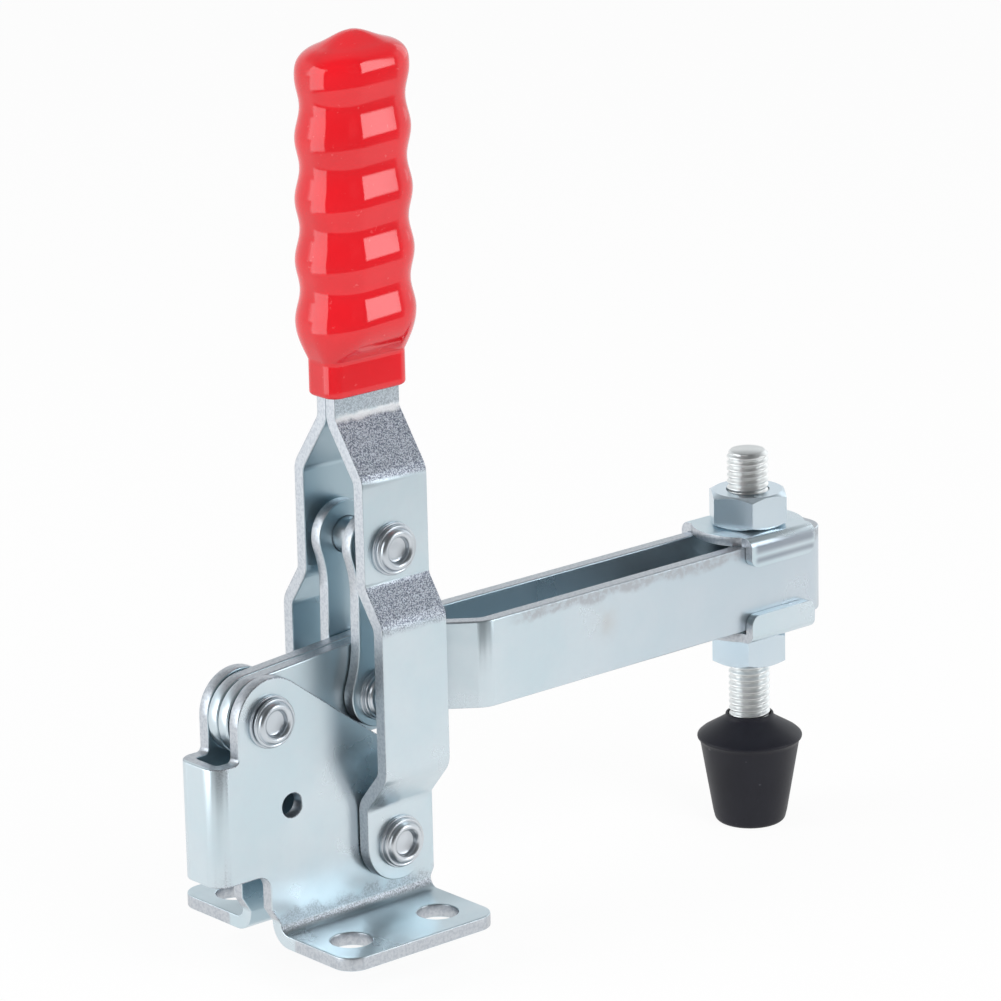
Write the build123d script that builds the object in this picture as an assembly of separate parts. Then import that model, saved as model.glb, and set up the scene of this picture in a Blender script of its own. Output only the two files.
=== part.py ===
"""Vertical-handle hold-down toggle clamp with a flanged base and a U-shaped arm.

The origin is the middle of the four base holes, on the underside of the base.
+X runs forward along the arm to the spindle, +Y to the left, +Z up. Millimetres.
The clamp is modelled closed: the arm is level and the handle stands upright.
"""
from build123d import *
import os
from math import acos, asin, atan2, cos, degrees, hypot, pi, radians, sin, tan

# Sheet thicknesses
BASE_SHEET = 3.1
ARM_SHEET = 3.2
LINK_SHEET = 3.1
HANDLE_SHEET = 3.1
WASHER_SHEET = 2.2

# Layers side by side, from the middle plane outwards
LEG_GAP = 0.3
SIDE_CLEARANCE = 0.35

# Pivots in side view, (x, z)
ARM_PIVOT = (-22.0, 52.1)
HANDLE_PIVOT = (10.3, 17.5)
LOWER_LINK_PIVOT = (8.6, 51.3)
UPPER_LINK_PIVOT = (9.2, 85.2)

# Rivets
RIVET_SHANK_R = 4.0
RIVET_HEAD_R = 5.5
RIVET_HEAD_HEIGHT = 1.9
RIVET_CUP_R = 3.3
RIVET_CUP_DEPTH = 1.7
RIVET_WASHER_R = 5.9
RIVET_WASHER_THICKNESS = 0.9
RUNNING_FIT = 0.05
PIN_END_CLEARANCE = 0.06

# Base bracket
BASE_FRONT = 22.8
BASE_REAR = -23.2
FLANGE_HALF_WIDTH = 30.0
FLANGE_FRONT = 21.8
FLANGE_REAR = -20.9
FRONT_NECK_HEIGHT = 7.2
REAR_NECK_HEIGHT = 9.0
FLANGE_CORNER_R = 5.0
FLANGE_BEND_R = 2.2
BASE_HOLE_SPACING_X = 24.4
BASE_HOLE_SPACING_Y = 40.4
BASE_HOLE_R = 4.6
WEB_REAR = -37.5
WEB_CORNER_R = 4.0
WEB_BOTTOM = 17.2
WEB_TOP = 44.2
EAR_CENTRE = (-21.3, 52.2)
EAR_R = 9.4
EAR_RELIEF_R = 1.2
TOP_SLOPE_DEG = 37.2
FRONT_CORNER_R = 3.0
CUTOUT_CORNER_R = 3.5
SIDE_HOLE = (-16.6, 31.6)
SIDE_HOLE_R = 2.7
PIVOT_SPACER_R = 6.0

# Arm: one strip bent to a U, its legs closed together at the rear
ARM_TOP = 61.9
ARM_BOTTOM = 41.7
ARM_HALF_WIDTH = 9.6
ARM_FRONT = 143.2
ARM_FRONT_R = 6.0
ARM_LEG_END_R = 9.0
ARM_LEG_CREST = 63.5
ARM_FLARE_START = 29.6
ARM_FLARE_LENGTH = 8.2
ARM_BEND_R = 3.0

# Links
LINK_END_R = 7.6
LINK_WAIST = 11.0
LINK_WAIST_R = 26.0

# Handle strips: half widths are to the outer face, heights are of the bends
HANDLE_WIDTH = 18.1
HANDLE_CENTRE_X = 10.5
HANDLE_END_R = 8.9
HANDLE_TOP_CORNER_R = 4.0
HANDLE_TOP = 189.0
HANDLE_MID_HALF = 11.7
HANDLE_WIDE_HALF = 17.1
NECK_BEND_TOP = 113.2
NECK_BEND_BOTTOM = 101.0
SHOULDER_TOP = 77.2
SHOULDER_BOTTOM = 69.3
HIP_TOP = 35.4
HIP_BOTTOM = 27.2
HANDLE_BEND_R = 2.5

# Grip: a moulded sleeve with five finger swells, its rings tipped up at the front
GRIP_BOTTOM = 118.4
GRIP_WALL = 1.9
NECK_ROUND = 2.3
NECK_HEIGHT = 8.0
SWELL_COUNT = 5
SWELL_PITCH = 13.25
FIRST_SWELL = 135.2
SWELL_HALF_X = 13.4
SWELL_HALF_Y = 10.25
SWELL_SQUARENESS = 0.9
SWELL_DEPTH = 1.0
SWELL_TAPER = 0.19
SWELL_STEPS = 4
GRIP_ARC_STEPS = 5
RING_TILT_DEG = 3.5
GRIP_LEAN = 0.016
GRIP_END_HEIGHT = 5.9
GRIP_END_STEPS = 6
GRIP_END_FLAT = 0.08
GRIP_END_FULLNESS = 2.8
GRIP_BUTTON_HEIGHT = 2.8
GRIP_BUTTON_SHARE = 0.55

# Spindle and its fasteners
SPINDLE_X = 126.2
THREAD_R = 5.0
SPINDLE_TOP = 81.6
SPINDLE_LENGTH = 70.0
SPINDLE_CHAMFER = 0.9
NUT_ACROSS_FLATS = 17.0
NUT_HEIGHT = 8.0
NUT_CHAMFER_DEG = 30.0
NUT_FACE_SHARE = 0.95
UPPER_NUT_TURN = -7.0
LOWER_NUT_TURN = -14.0
SLACK_BELOW_ARM = 0.8
SCREW_HEAD_HEIGHT = 6.4
THREAD_CLEARANCE = 0.05
WASHER_BORE_R = 5.3
WASHER_R = 13.2
WASHER_FLANGE_LENGTH = 20.2
WASHER_FLANGE_HEIGHT = 6.9
WASHER_CORNER_R = 2.4
WASHER_SIDE_GAP = 0.1

# Rubber cap over the screw head, heights from its own foot
CAP_BOTTOM = -9.3
CAP_BOTTOM_R = 8.4
CAP_TAPER_R = 11.7
CAP_TAPER_HEIGHT = 20.0
CAP_LIP_R = 12.4
CAP_LIP_HEIGHT = 21.7
CAP_SHOULDER_R = 5.9
CAP_SHOULDER_HEIGHT = 25.4
CAP_COLLAR_R = 5.4
CAP_TOP_HEIGHT = 26.7
CAP_HEAD_CLEARANCE = 0.05

# Sizes that follow from the values above
LEG_INNER = LEG_GAP / 2
LEG_OUTER = LEG_INNER + ARM_SHEET
PLATE_INNER = LEG_OUTER + SIDE_CLEARANCE
BASE_OUTER = PLATE_INNER + BASE_SHEET
LINK_OUTER = PLATE_INNER + LINK_SHEET
HANDLE_LOW_HALF = BASE_OUTER + SIDE_CLEARANCE + HANDLE_SHEET
HOLE_R = RIVET_SHANK_R + RUNNING_FIT
SCREW_HEAD_BOTTOM = SPINDLE_TOP - SPINDLE_LENGTH - SCREW_HEAD_HEIGHT


def side_prism(outline, low_y, high_y):
    """Solid between two planes of constant Y, from an outline drawn in (x, z)."""
    face = Pos(0, high_y, 0) * (Plane.XZ * outline)
    return extrude(face, high_y - low_y)


def pair(outline, inner, outer):
    """The same plate on both sides of the middle plane."""
    return side_prism(outline, inner, outer), side_prism(outline, -outer, -inner)


def cross_bore(point, radius, reach):
    """Cylinder along Y through a point of the side view."""
    return side_prism(Pos(*point) * Circle(radius), -reach, reach)


def near(shape, *points):
    """The vertices of a sketch that lie nearest the given points."""
    picked = []
    for x, y in points:
        picked.append(min(shape.vertices(), key=lambda v: hypot(v.X - x, v.Y - y)))
    return picked


def offset_path(path, distance):
    """Corner points of a polyline moved to its left by a distance."""
    lines = []
    for (x0, y0), (x1, y1) in zip(path, path[1:]):
        length = hypot(x1 - x0, y1 - y0)
        along = ((x1 - x0) / length, (y1 - y0) / length)
        start = (x0 - along[1] * distance, y0 + along[0] * distance)
        end = (x1 - along[1] * distance, y1 + along[0] * distance)
        lines.append((start, end, along))
    points = [lines[0][0]]
    for (start, _, first), (other, _, second) in zip(lines, lines[1:]):
        cross = first[0] * second[1] - first[1] * second[0]
        run = ((other[0] - start[0]) * second[1] - (other[1] - start[1]) * second[0]) / cross
        points.append((start[0] + first[0] * run, start[1] + first[1] * run))
    return points + [lines[-1][1]]


def turns(path):
    """+1 where a polyline turns left and -1 where it turns right, corner by corner."""
    signs = []
    for (x0, y0), (x1, y1), (x2, y2) in zip(path, path[1:], path[2:]):
        cross = (x1 - x0) * (y2 - y1) - (y1 - y0) * (x2 - x1)
        signs.append(1 if cross > 0 else -1)
    return signs


def sheet_section(path, thickness, bend_radii):
    """Section of a bent sheet along its middle line, with each bend's inner radius."""
    left = offset_path(path, thickness / 2)
    right = offset_path(path, -thickness / 2)
    section = make_face(Polyline(*left, *reversed(right), close=True))
    for i, turn in enumerate(turns(path)):
        inside, outside = (left, right) if turn > 0 else (right, left)
        section = fillet(near(section, inside[i + 1]), bend_radii[i])
        section = fillet(near(section, outside[i + 1]), bend_radii[i] + thickness)
    return section


def rivet_head_corners(seat):
    """Half section of a cupped rivet head, (radius, distance from the middle plane)."""
    rim = seat + RIVET_HEAD_HEIGHT
    return [
        (0, rim - RIVET_CUP_DEPTH),
        (RIVET_CUP_R, rim - RIVET_CUP_DEPTH),
        (RIVET_CUP_R, rim),
        (RIVET_HEAD_R, rim),
        (RIVET_HEAD_R, seat),
        (RIVET_SHANK_R, seat),
    ]


def turned_along_y(corners, point):
    """Solid of revolution about a line along Y, from the corners of its half section."""
    solid = revolve(make_face(Polyline(*corners, close=True)), axis=Axis.Y)
    return Pos(point[0], 0, point[1]) * solid


def rivet(point, seat):
    """Whole rivet: shank and a cupped head on each side, seated at +-seat."""
    head = rivet_head_corners(seat)
    other_head = [(radius, -y) for radius, y in reversed(head)]
    return turned_along_y(head + other_head, point)


def rivet_end(point, seat, inner):
    """Head of a rivet and the stretch of shank under it, from inner out to the seat."""
    return turned_along_y(rivet_head_corners(seat) + [(RIVET_SHANK_R, inner), (0, inner)], point)


def rivet_washer(point, seat):
    """Plain washer between a plate's outer face and the rivet head on the left side."""
    outline = Pos(*point) * (Circle(RIVET_WASHER_R) - Circle(HOLE_R))
    return side_prism(outline, seat, seat + RIVET_WASHER_THICKNESS)


def other_side(solid):
    """The same piece on the right side of the clamp."""
    return mirror(solid, about=Plane.XZ)


def base_outline():
    """Side view of the base: ear, sloping top edge, front edge and rear web."""
    slope = radians(TOP_SLOPE_DEG)
    bend_top = BASE_SHEET + FLANGE_BEND_R
    ear_x, ear_z = EAR_CENTRE
    tangent = (ear_x + EAR_R * sin(slope), ear_z + EAR_R * cos(slope))
    front_z = tangent[1] - (BASE_FRONT - tangent[0]) * tan(slope)
    ear_rear = ear_x - EAR_R
    corners = [
        tangent,
        (BASE_FRONT, front_z),
        (BASE_FRONT, FRONT_NECK_HEIGHT),
        (FLANGE_FRONT, bend_top),
        (FLANGE_REAR, bend_top),
        (BASE_REAR, REAR_NECK_HEIGHT),
        (BASE_REAR, WEB_BOTTOM),
        (WEB_REAR, WEB_BOTTOM),
        (WEB_REAR, WEB_TOP),
        (ear_rear, WEB_TOP),
        (ear_rear, ear_z),
        EAR_CENTRE,
    ]
    outline = make_face(Polyline(*corners, close=True)) + Pos(*EAR_CENTRE) * Circle(EAR_R)
    outline = fillet(near(outline, (BASE_FRONT, front_z)), FRONT_CORNER_R)
    outline = fillet(near(outline, (BASE_REAR, WEB_BOTTOM)), CUTOUT_CORNER_R)
    return fillet(near(outline, (ear_rear, WEB_TOP)), EAR_RELIEF_R)


def base_channel():
    """Two side plates and the rear web, one sheet bent to a U, seen from above."""
    middle = BASE_OUTER - BASE_SHEET / 2
    rear = WEB_REAR + BASE_SHEET / 2
    path = [(BASE_FRONT, middle), (rear, middle), (rear, -middle), (BASE_FRONT, -middle)]
    inner_radius = WEB_CORNER_R - BASE_SHEET
    plan = sheet_section(path, BASE_SHEET, [inner_radius, inner_radius])
    height = EAR_CENTRE[1] + EAR_R + 1
    return extrude(plan, height) & side_prism(base_outline(), -BASE_OUTER, BASE_OUTER)


def base_flange():
    """Left foot: the foot of the side plate turned outwards."""
    middle = BASE_OUTER - BASE_SHEET / 2
    bend_top = BASE_SHEET + FLANGE_BEND_R
    path = [(middle, bend_top), (middle, BASE_SHEET / 2), (FLANGE_HALF_WIDTH, BASE_SHEET / 2)]
    section = Plane.YZ * sheet_section(path, BASE_SHEET, [FLANGE_BEND_R])
    foot = Pos(FLANGE_REAR, 0, 0) * extrude(section, FLANGE_FRONT - FLANGE_REAR)
    corners = foot.edges().filter_by(Axis.Z).group_by(Axis.Y)[-1]
    return fillet(corners, FLANGE_CORNER_R)


def make_base():
    foot = base_flange()
    solid = base_channel() + foot + other_side(foot)
    for x in (-BASE_HOLE_SPACING_X / 2, BASE_HOLE_SPACING_X / 2):
        for y in (-BASE_HOLE_SPACING_Y / 2, BASE_HOLE_SPACING_Y / 2):
            solid -= Pos(x, y, 0) * Cylinder(BASE_HOLE_R, 4 * BASE_SHEET)
    for point, radius in ((ARM_PIVOT, HOLE_R), (HANDLE_PIVOT, HOLE_R), (SIDE_HOLE, SIDE_HOLE_R)):
        solid -= cross_bore(point, radius, 2 * BASE_OUTER)
    return solid


def make_pivot_spacer():
    """Tube that keeps the side plates apart at the handle pivot."""
    ring = Pos(*HANDLE_PIVOT) * (Circle(PIVOT_SPACER_R) - Circle(HOLE_R))
    return side_prism(ring, -PLATE_INNER, PLATE_INNER)


def arm_outline():
    """Side view of the arm: round leg ends, a low crest at the link and a level front."""
    pivot_x, pivot_z = ARM_PIVOT
    crest_x = LOWER_LINK_PIVOT[0]
    rise = atan2(ARM_LEG_CREST - pivot_z, crest_x - pivot_x)
    reach = hypot(ARM_LEG_CREST - pivot_z, crest_x - pivot_x)
    top = rise + pi / 2 - asin(ARM_LEG_END_R / reach)
    drop = atan2(pivot_z - ARM_BOTTOM, crest_x - pivot_x)
    low_reach = hypot(pivot_z - ARM_BOTTOM, crest_x - pivot_x)
    low = drop + pi / 2 - asin(ARM_LEG_END_R / low_reach)
    corners = [
        ARM_PIVOT,
        (pivot_x + ARM_LEG_END_R * cos(top), pivot_z + ARM_LEG_END_R * sin(top)),
        (crest_x, ARM_LEG_CREST),
        (ARM_FLARE_START, ARM_TOP),
        (ARM_FRONT, ARM_TOP),
        (ARM_FRONT, ARM_BOTTOM),
        (crest_x, ARM_BOTTOM),
        (pivot_x + ARM_LEG_END_R * cos(low), pivot_z - ARM_LEG_END_R * sin(low)),
    ]
    return make_face(Polyline(*corners, close=True)) + Pos(*ARM_PIVOT) * Circle(ARM_LEG_END_R)


def make_arm():
    leg = LEG_INNER + ARM_SHEET / 2
    side = ARM_HALF_WIDTH - ARM_SHEET / 2
    rear = ARM_PIVOT[0] - ARM_LEG_END_R
    front = ARM_FRONT - ARM_SHEET / 2
    flare_end = ARM_FLARE_START + ARM_FLARE_LENGTH
    half = [(rear, leg), (ARM_FLARE_START, leg), (flare_end, side), (front, side)]
    path = half + [(x, -y) for x, y in reversed(half)]
    front_bend = ARM_FRONT_R - ARM_SHEET
    bends = [ARM_BEND_R, ARM_BEND_R, front_bend, front_bend, ARM_BEND_R, ARM_BEND_R]
    plan = sheet_section(path, ARM_SHEET, bends)
    strip = extrude(plan, ARM_LEG_CREST + ARM_LEG_END_R)
    solid = strip & side_prism(arm_outline(), -ARM_HALF_WIDTH, ARM_HALF_WIDTH)
    for point in (ARM_PIVOT, LOWER_LINK_PIVOT):
        solid -= cross_bore(point, HOLE_R, 2 * LEG_OUTER)
    return solid


def link_outline():
    """Dog-bone plate between the two link pivots."""
    (low_x, low_z), (high_x, high_z) = LOWER_LINK_PIVOT, UPPER_LINK_PIVOT
    length = hypot(high_x - low_x, high_z - low_z)
    ends = Pos(0, length / 2) * Circle(LINK_END_R) + Pos(0, -length / 2) * Circle(LINK_END_R)
    bone = ends + Rectangle(LINK_WAIST, length)
    foot = length / 2 - (LINK_END_R**2 - (LINK_WAIST / 2) ** 2) ** 0.5
    corners = [(sx * LINK_WAIST / 2, sy * foot) for sx in (-1, 1) for sy in (-1, 1)]
    bone = fillet(near(bone, *corners), LINK_WAIST_R)
    bone -= Pos(0, length / 2) * Circle(HOLE_R) + Pos(0, -length / 2) * Circle(HOLE_R)
    lean = degrees(atan2(low_x - high_x, high_z - low_z))
    return Pos((low_x + high_x) / 2, (low_z + high_z) / 2) * (Rot(0, 0, lean) * bone)


def handle_side_outline():
    """Side view of a handle strip: straight edges, round foot, holes at both pivots."""
    strip = Pos(HANDLE_CENTRE_X, (HANDLE_PIVOT[1] + HANDLE_TOP) / 2)
    outline = strip * Rectangle(HANDLE_WIDTH, HANDLE_TOP - HANDLE_PIVOT[1])
    top = near(outline, *[(HANDLE_CENTRE_X + s * HANDLE_WIDTH / 2, HANDLE_TOP) for s in (-1, 1)])
    outline = fillet(top, HANDLE_TOP_CORNER_R)
    foot = Pos(HANDLE_CENTRE_X, HANDLE_PIVOT[1]) * Ellipse(HANDLE_WIDTH / 2, HANDLE_END_R)
    outline += foot
    for point in (HANDLE_PIVOT, UPPER_LINK_PIVOT):
        outline -= Pos(*point) * Circle(HOLE_R)
    return outline


def make_handle_plate():
    """Left strip of the handle, bent outwards in two steps and back in at the foot."""
    half = HANDLE_SHEET / 2
    path = [
        (half, HANDLE_TOP),
        (half, NECK_BEND_TOP),
        (HANDLE_MID_HALF - half, NECK_BEND_BOTTOM),
        (HANDLE_MID_HALF - half, SHOULDER_TOP),
        (HANDLE_WIDE_HALF - half, SHOULDER_BOTTOM),
        (HANDLE_WIDE_HALF - half, HIP_TOP),
        (HANDLE_LOW_HALF - half, HIP_BOTTOM),
        (HANDLE_LOW_HALF - half, HANDLE_PIVOT[1] - HANDLE_END_R - 1),
    ]
    section = Plane.YZ * sheet_section(path, HANDLE_SHEET, [HANDLE_BEND_R] * (len(path) - 2))
    strip = Pos(HANDLE_CENTRE_X - HANDLE_WIDTH / 2, 0, 0) * extrude(section, HANDLE_WIDTH)
    return strip & side_prism(handle_side_outline(), 0, HANDLE_WIDE_HALF)


def swell_sections():
    """(height, half x, half y, corner radius) up the grip, from its neck to its end."""
    neck = (HANDLE_WIDTH / 2 + GRIP_WALL, HANDLE_SHEET + GRIP_WALL, NECK_ROUND)
    first = (SWELL_HALF_X, SWELL_HALF_Y, SWELL_SQUARENESS * SWELL_HALF_Y)
    foot = GRIP_BOTTOM + NECK_HEIGHT
    sections = []
    for i in range(SWELL_STEPS):
        part = i / SWELL_STEPS
        blend = sin(part * pi / 2)
        sizes = [a + (b - a) * blend for a, b in zip(neck, first)]
        sections.append((foot + part * (FIRST_SWELL - foot), *sizes))
    for i in range((SWELL_COUNT - 1) * SWELL_STEPS + 1):
        turn = i / SWELL_STEPS
        loss = SWELL_TAPER * turn + SWELL_DEPTH * sin(pi * turn) ** 2
        half_y = SWELL_HALF_Y - loss
        section = (SWELL_HALF_X - loss, half_y, SWELL_SQUARENESS * half_y)
        sections.append((FIRST_SWELL + turn * SWELL_PITCH, *section))
    height, *last = sections[-1]
    power = 2 / GRIP_END_FULLNESS
    for i in range(1, GRIP_END_STEPS + 1):
        angle = i / GRIP_END_STEPS * acos(GRIP_END_FLAT ** (1 / power))
        share = cos(angle) ** power
        lift = GRIP_END_HEIGHT * sin(angle) ** power
        if share < GRIP_BUTTON_SHARE:
            lift += GRIP_BUTTON_HEIGHT * (0.5 + 0.5 * cos(pi * share / GRIP_BUTTON_SHARE))
        sections.append((height + lift, *[size * share for size in last]))
    return sections


def grip_outline(half_x, half_y, corner):
    """Rounded rectangle of short straight runs, so that the moulded sleeve stays light."""
    points = []
    for quarter, (x_sign, y_sign) in enumerate([(1, 1), (-1, 1), (-1, -1), (1, -1)]):
        for step in range(GRIP_ARC_STEPS + 1):
            angle = (quarter + step / GRIP_ARC_STEPS) * pi / 2
            x = x_sign * (half_x - corner) + corner * cos(angle)
            y = y_sign * (half_y - corner) + corner * sin(angle)
            points.append((x, y))
    return make_face(Polyline(*points, close=True))


def grip_layer(height, half_x, half_y, corner, tilt):
    lean = GRIP_LEAN * (height - GRIP_BOTTOM - NECK_HEIGHT) if tilt else 0
    place = Pos(HANDLE_CENTRE_X + lean, 0, height) * Rot(0, -tilt, 0)
    return place * grip_outline(half_x, half_y, corner)


def make_grip():
    sections = swell_sections()
    foot = grip_layer(GRIP_BOTTOM, *sections[0][1:], 0)
    neck = extrude(foot, NECK_HEIGHT)
    layers = [grip_layer(*sections[0], 0)]
    for i, section in enumerate(sections[1:], 1):
        layers.append(grip_layer(*section, RING_TILT_DEG * min(i / SWELL_STEPS, 1)))
    swells = loft(layers, ruled=True)
    slot_height = HANDLE_TOP - GRIP_BOTTOM
    slot = Box(HANDLE_WIDTH, 2 * HANDLE_SHEET, slot_height)
    return neck + swells - Pos(HANDLE_CENTRE_X, 0, GRIP_BOTTOM + slot_height / 2) * slot


def hexagon(clearance=0):
    """The outline of the nuts and the screw head."""
    return RegularPolygon(NUT_ACROSS_FLATS / 2 + clearance, 6, major_radius=False)


def make_nut(foot_z, turn):
    """Hexagon nut with both faces chamfered."""
    corner_r = NUT_ACROSS_FLATS / 2 / cos(pi / 6)
    face_r = NUT_FACE_SHARE * NUT_ACROSS_FLATS / 2
    drop = (corner_r - face_r) * tan(radians(NUT_CHAMFER_DEG))
    profile = [
        (THREAD_R + THREAD_CLEARANCE, 0),
        (face_r, 0),
        (corner_r, drop),
        (corner_r, NUT_HEIGHT - drop),
        (face_r, NUT_HEIGHT),
        (THREAD_R + THREAD_CLEARANCE, NUT_HEIGHT),
    ]
    turned = revolve(Plane.XZ * make_face(Polyline(*profile, close=True)), axis=Axis.Z)
    nut = extrude(hexagon(), NUT_HEIGHT) & turned
    return Pos(SPINDLE_X, 0, foot_z) * (Rot(0, 0, turn) * nut)


def make_spindle():
    """Hexagon screw standing on its head; the thread's crests are its outer surface."""
    head = Pos(0, 0, SCREW_HEAD_BOTTOM) * extrude(hexagon(), SCREW_HEAD_HEIGHT)
    shank_foot = SCREW_HEAD_BOTTOM + SCREW_HEAD_HEIGHT
    shank = Pos(0, 0, shank_foot + SPINDLE_LENGTH / 2) * Cylinder(THREAD_R, SPINDLE_LENGTH)
    shank = chamfer(shank.edges().group_by(Axis.Z)[-1], SPINDLE_CHAMFER)
    return Pos(SPINDLE_X, 0, 0) * (head + shank)


def make_flanged_washer():
    """Round washer whose two side tabs fold down over the arm, plate at z = 0 and up."""
    tab = ARM_HALF_WIDTH + WASHER_SIDE_GAP + WASHER_SHEET / 2
    foot = WASHER_SHEET - WASHER_FLANGE_HEIGHT
    path = [(-tab, foot), (-tab, WASHER_SHEET / 2), (tab, WASHER_SHEET / 2), (tab, foot)]
    section = Plane.YZ * sheet_section(path, WASHER_SHEET, [WASHER_SIDE_GAP] * 2)
    channel = Pos(-WASHER_FLANGE_LENGTH / 2, 0, 0) * extrude(section, WASHER_FLANGE_LENGTH)
    low_corners = channel.edges().filter_by(Axis.Y).group_by(Axis.Z)[0]
    channel = fillet(low_corners, WASHER_CORNER_R)
    disc = extrude(Circle(WASHER_R) & Rectangle(4 * WASHER_R, 2 * ARM_HALF_WIDTH), WASHER_SHEET)
    return channel + disc - Cylinder(WASHER_BORE_R, 4 * WASHER_FLANGE_HEIGHT)


def make_cap():
    """Rubber cap pushed over the screw head, tapering to a round foot."""
    shaft_r = THREAD_R + CAP_HEAD_CLEARANCE
    head_foot = SCREW_HEAD_BOTTOM - CAP_BOTTOM
    head_top = head_foot + SCREW_HEAD_HEIGHT + CAP_HEAD_CLEARANCE
    corners = [
        (0, 0),
        (CAP_BOTTOM_R, 0),
        (CAP_TAPER_R, CAP_TAPER_HEIGHT),
        (CAP_LIP_R, CAP_LIP_HEIGHT),
        (CAP_SHOULDER_R, CAP_SHOULDER_HEIGHT),
        (CAP_COLLAR_R, CAP_TOP_HEIGHT),
        (shaft_r, CAP_TOP_HEIGHT),
        (shaft_r, head_top),
        (0, head_top),
    ]
    skin = revolve(Plane.XZ * make_face(Polyline(*corners, close=True)), axis=Axis.Z)
    pocket = extrude(hexagon(CAP_HEAD_CLEARANCE), head_top - head_foot)
    return Pos(SPINDLE_X, 0, CAP_BOTTOM) * (skin - Pos(0, 0, head_foot) * pocket)


def build_nodes():
    nodes = {"base_bracket": make_base(), "handle_pivot_spacer": make_pivot_spacer()}

    arm_seat = BASE_OUTER + RIVET_WASHER_THICKNESS
    nodes["arm_pivot_rivet"] = rivet(ARM_PIVOT, arm_seat)
    nodes["arm_pivot_washer_left"] = rivet_washer(ARM_PIVOT, BASE_OUTER)
    handle_seat = HANDLE_LOW_HALF + RIVET_WASHER_THICKNESS
    nodes["handle_pivot_rivet"] = rivet(HANDLE_PIVOT, handle_seat)
    nodes["handle_pivot_washer_left"] = rivet_washer(HANDLE_PIVOT, HANDLE_LOW_HALF)

    nodes["clamp_arm"] = make_arm()
    nodes["link_pin"] = cross_bore(LOWER_LINK_PIVOT, RIVET_SHANK_R, LEG_OUTER + PIN_END_CLEARANCE)
    washer = make_flanged_washer()
    nodes["flanged_washer_top"] = Pos(SPINDLE_X, 0, ARM_TOP) * washer
    underside = ARM_BOTTOM - SLACK_BELOW_ARM
    nodes["flanged_washer_bottom"] = Pos(SPINDLE_X, 0, underside) * (Rot(180, 0, 0) * washer)
    nodes["spindle_nut_upper"] = make_nut(ARM_TOP + WASHER_SHEET, UPPER_NUT_TURN)
    nodes["spindle_nut_lower"] = make_nut(underside - WASHER_SHEET - NUT_HEIGHT, LOWER_NUT_TURN)
    nodes["spindle"] = make_spindle()
    nodes["rubber_cap"] = make_cap()

    left_link, right_link = pair(link_outline(), PLATE_INNER, LINK_OUTER)
    nodes["toggle_link_left"] = left_link
    nodes["toggle_link_right"] = right_link
    link_seat = LINK_OUTER + RIVET_WASHER_THICKNESS
    stub_inner = PLATE_INNER - PIN_END_CLEARANCE
    nodes["link_rivet_left"] = rivet_end(LOWER_LINK_PIVOT, link_seat, stub_inner)
    nodes["link_washer_left"] = rivet_washer(LOWER_LINK_PIVOT, LINK_OUTER)

    nodes["handle_plate_left"] = make_handle_plate()
    nodes["handle_grip"] = make_grip()
    grip_seat = HANDLE_MID_HALF + RIVET_WASHER_THICKNESS
    nodes["toggle_rivet"] = rivet(UPPER_LINK_PIVOT, grip_seat)
    nodes["toggle_washer_left"] = rivet_washer(UPPER_LINK_PIVOT, HANDLE_MID_HALF)

    mirrored = [
        "arm_pivot_washer", "handle_pivot_washer", "link_rivet", "link_washer",
        "handle_plate", "toggle_washer",
    ]
    for name in mirrored:
        nodes[f"{name}_right"] = other_side(nodes[f"{name}_left"])
    return nodes


os.makedirs("parts", exist_ok=True)
for node, solid in build_nodes().items():
    export_step(solid, f"parts/{node}.step")
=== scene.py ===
from math import acos, cos, pi, radians, sin

import bmesh
import bpy
from mathutils import Matrix, Vector


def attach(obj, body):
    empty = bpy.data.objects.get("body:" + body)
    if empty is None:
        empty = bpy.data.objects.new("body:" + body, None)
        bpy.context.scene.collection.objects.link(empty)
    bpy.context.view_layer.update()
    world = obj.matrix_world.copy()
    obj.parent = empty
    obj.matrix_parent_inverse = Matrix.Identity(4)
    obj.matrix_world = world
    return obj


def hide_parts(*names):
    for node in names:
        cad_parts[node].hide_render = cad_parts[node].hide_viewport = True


MM = 0.001

# Camera, fitted to the photograph
CAMERA_PLACE = Vector((-0.64464, -0.81084, 0.39705))
CAMERA_AZIMUTH = -40.601
CAMERA_ELEVATION = 16.290
CAMERA_ROLL = -1.274
FOCAL_PIXELS = 5000.0
IMAGE_PIXELS = 1001.0
SENSOR_MM = 36.0

# Places that the pieces made here share with the solids, in millimetres
HANDLE_PIVOT = (10.3, 17.5)
ARM_PIVOT = (-22.0, 52.1)
LOWER_LINK_PIVOT = (8.6, 51.3)
UPPER_LINK_PIVOT = (9.2, 85.2)
SPINDLE_X = 126.2
SPINDLE_TOP = 81.6
ARM_RIVET_SEAT = 7.9
HANDLE_RIVET_SEAT = 11.15
TOGGLE_RIVET_SEAT = 12.6
LINK_RIVET_SEAT = 7.7
LINK_RIVET_INNER_END = 3.64
FLOOR_Z = -9.35


# Meshes

def finish_mesh(name, bm, material, crease_deg=35.0):
    """Turns a bmesh in millimetres into a smooth-shaded object in metres."""
    bmesh.ops.recalc_face_normals(bm, faces=bm.faces)
    bmesh.ops.scale(bm, vec=(MM, MM, MM), verts=bm.verts)
    mesh = bpy.data.meshes.new(name)
    bm.to_mesh(mesh)
    bm.free()
    mesh.shade_smooth()
    mesh.set_sharp_from_angle(angle=radians(crease_deg))
    piece = bpy.data.objects.new(name, mesh)
    bpy.context.scene.collection.objects.link(piece)
    mesh.materials.append(material)
    return piece


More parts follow.
